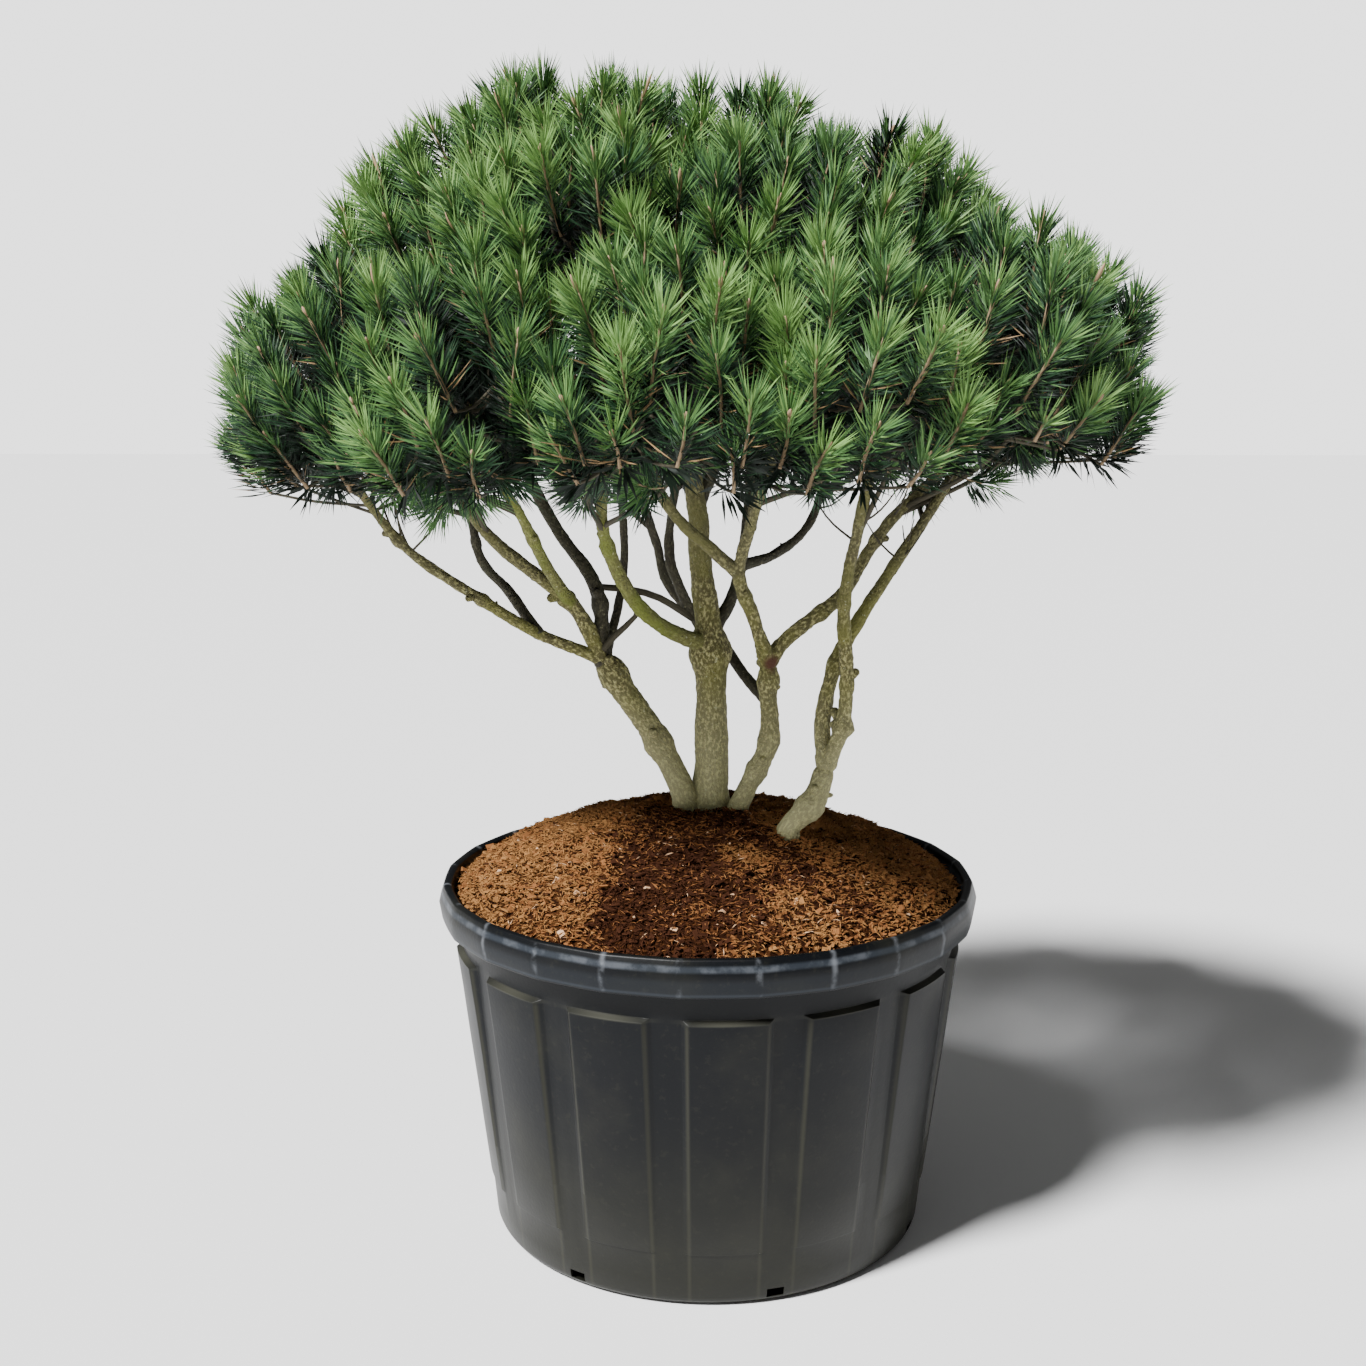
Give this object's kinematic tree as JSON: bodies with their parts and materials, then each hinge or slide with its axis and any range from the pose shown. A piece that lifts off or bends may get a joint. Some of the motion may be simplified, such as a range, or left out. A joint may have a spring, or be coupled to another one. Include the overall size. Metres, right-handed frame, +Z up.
{
  "type": "potted mugo pine",
  "caption": "Round nursery tub of ribbed plastic, filled with bark mulch, with a multi-stemmed mugo pine: bare crooked stems spread up into a broad domed crown of needles.",
  "frame": {"origin": "centre of the pot's flat underside, on the ground", "axes": "+Z up along the pot's axis, +X to the right seen from the front, -Y towards the viewer of the picture"},
  "size_m": [1.3968, 1.2724, 1.7657],
  "materials": {
    "pot": "satin",
    "mulch": "matte",
    "bark": "matte",
    "mossy_bark": "matte",
    "dark_bark": "matte",
    "needles": "matte"
  },
  "bodies": {
    "root": {"pot": "pot", "soil": "mulch", "trunk": "bark", "stem_left": "bark", "stem_middle": "bark", "stem_right": "bark", "bough_left_low": "bark", "bough_left_front": "bark", "bough_middle_right": "bark", "bough_middle_front": "bark", "bough_crossing": "bark", "bough_upper_front": "bark", "bough_right_low": "bark", "bough_right_upright": "bark", "bough_left_mossy": "mossy_bark", "bough_front_mossy": "mossy_bark", "bough_upper_left": "dark_bark", "bough_upper_rear_left": "dark_bark", "bough_left_rear": "dark_bark", "bough_rear": "dark_bark", "bough_upper_rear_right": "dark_bark", "bough_rear_right": "dark_bark", "bough_upper_right": "dark_bark", "bough_leader": "dark_bark", "bough_middle_rear": "dark_bark", "needles_left": "needles", "needles_left_front": "needles", "needles_front_left": "needles", "needles_front": "needles", "needles_front_middle": "needles", "needles_front_right": "needles", "needles_right": "needles", "needles_right_rear": "needles", "needles_rear_right": "needles", "needles_rear": "needles", "needles_rear_left": "needles", "needles_left_rear": "needles", "needles_upper_left": "needles", "needles_upper_front_left": "needles", "needles_upper_front_right": "needles", "needles_upper_right": "needles", "needles_upper_rear_right": "needles", "needles_upper_rear_left": "needles", "needles_top_left": "needles", "needles_top_right": "needles"}
  },
  "joints": []
}
